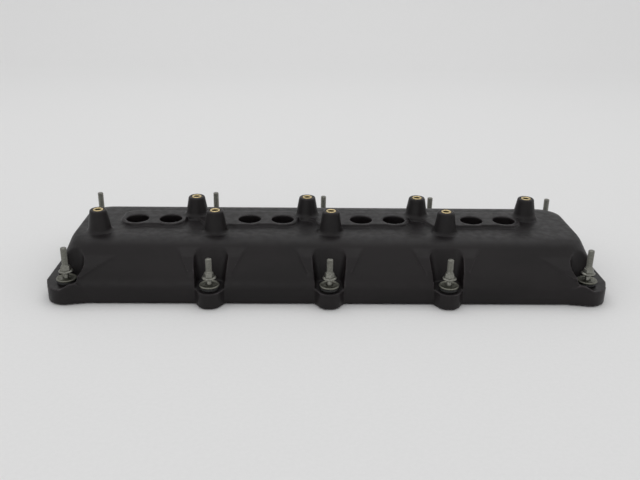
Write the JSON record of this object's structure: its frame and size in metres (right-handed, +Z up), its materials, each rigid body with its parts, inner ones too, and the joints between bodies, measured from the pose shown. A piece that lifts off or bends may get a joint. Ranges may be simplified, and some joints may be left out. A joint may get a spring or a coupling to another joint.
{
  "type": "cylinder head rocker cover",
  "caption": "Moulded black plastic rocker cover for a cylinder head, with plug wells, coil towers and captive studs in bays along both edges.",
  "frame": {"origin": "middle of the cover on the plane that the gasket and the stud tips rest on", "axes": "+X along the cover, towards its right end as seen from the long edge whose towers stand nearest; +Y across it, away from that edge; +Z up, out of the engine"},
  "size_m": [0.537, 0.1954, 0.0733],
  "materials": {
    "cover": "satin black glass-filled nylon, finely grained",
    "gasket": "dark silicone rubber",
    "baffle": "plain pressed sheet steel",
    "screws": "zinc plated",
    "seals": "black rubber",
    "inserts": "turned brass",
    "grommets": "black rubber",
    "sleeves": "zinc plated, slightly olive",
    "studs": "zinc plated"
  },
  "bodies": {
    "cover": {"cover_shell": "cover", "perimeter_gasket": "gasket", "oil_baffle": "baffle", "baffle_screw_1": "screws", "baffle_screw_2": "screws", "baffle_screw_3": "screws", "baffle_screw_4": "screws", "baffle_screw_5": "screws", "baffle_screw_6": "screws", "plug_seal_1": "seals", "plug_seal_2": "seals", "plug_seal_3": "seals", "plug_seal_4": "seals", "plug_seal_5": "seals", "plug_seal_6": "seals", "plug_seal_7": "seals", "plug_seal_8": "seals", "coil_insert_1": "inserts", "coil_insert_2": "inserts", "coil_insert_3": "inserts", "coil_insert_4": "inserts", "coil_insert_5": "inserts", "coil_insert_6": "inserts", "coil_insert_7": "inserts", "coil_insert_8": "inserts", "grommet_front_1": "grommets", "sleeve_front_1": "sleeves", "grommet_front_2": "grommets", "sleeve_front_2": "sleeves", "grommet_front_3": "grommets", "sleeve_front_3": "sleeves", "grommet_front_4": "grommets", "sleeve_front_4": "sleeves", "grommet_front_5": "grommets", "sleeve_front_5": "sleeves", "grommet_rear_1": "grommets", "sleeve_rear_1": "sleeves", "grommet_rear_2": "grommets", "sleeve_rear_2": "sleeves", "grommet_rear_3": "grommets", "sleeve_rear_3": "sleeves", "grommet_rear_4": "grommets", "sleeve_rear_4": "sleeves", "grommet_rear_5": "grommets", "sleeve_rear_5": "sleeves"},
    "stud_front_1": {"stud_front_1": "studs"},
    "stud_front_2": {"stud_front_2": "studs"},
    "stud_front_3": {"stud_front_3": "studs"},
    "stud_front_4": {"stud_front_4": "studs"},
    "stud_front_5": {"stud_front_5": "studs"},
    "stud_rear_1": {"stud_rear_1": "studs"},
    "stud_rear_2": {"stud_rear_2": "studs"},
    "stud_rear_3": {"stud_rear_3": "studs"},
    "stud_rear_4": {"stud_rear_4": "studs"},
    "stud_rear_5": {"stud_rear_5": "studs"}
  },
  "joints": [
    {"name": "stud_front_1_slide", "type": "slide", "parent": "cover", "child": "stud_front_1", "axis": [0, 0, 1], "range_m": [-0.0057, 0.0037]},
    {"name": "stud_front_2_slide", "type": "slide", "parent": "cover", "child": "stud_front_2", "axis": [0, 0, 1], "range_m": [-0.0057, 0.0037]},
    {"name": "stud_front_3_slide", "type": "slide", "parent": "cover", "child": "stud_front_3", "axis": [0, 0, 1], "range_m": [-0.0057, 0.0037]},
    {"name": "stud_front_4_slide", "type": "slide", "parent": "cover", "child": "stud_front_4", "axis": [0, 0, 1], "range_m": [-0.0057, 0.0037]},
    {"name": "stud_front_5_slide", "type": "slide", "parent": "cover", "child": "stud_front_5", "axis": [0, 0, 1], "range_m": [-0.0057, 0.0037]},
    {"name": "stud_rear_1_slide", "type": "slide", "parent": "cover", "child": "stud_rear_1", "axis": [0, 0, 1], "range_m": [-0.0057, 0.0037]},
    {"name": "stud_rear_2_slide", "type": "slide", "parent": "cover", "child": "stud_rear_2", "axis": [0, 0, 1], "range_m": [-0.0057, 0.0037]},
    {"name": "stud_rear_3_slide", "type": "slide", "parent": "cover", "child": "stud_rear_3", "axis": [0, 0, 1], "range_m": [-0.0057, 0.0037]},
    {"name": "stud_rear_4_slide", "type": "slide", "parent": "cover", "child": "stud_rear_4", "axis": [0, 0, 1], "range_m": [-0.0057, 0.0037]},
    {"name": "stud_rear_5_slide", "type": "slide", "parent": "cover", "child": "stud_rear_5", "axis": [0, 0, 1], "range_m": [-0.0057, 0.0037]}
  ]
}
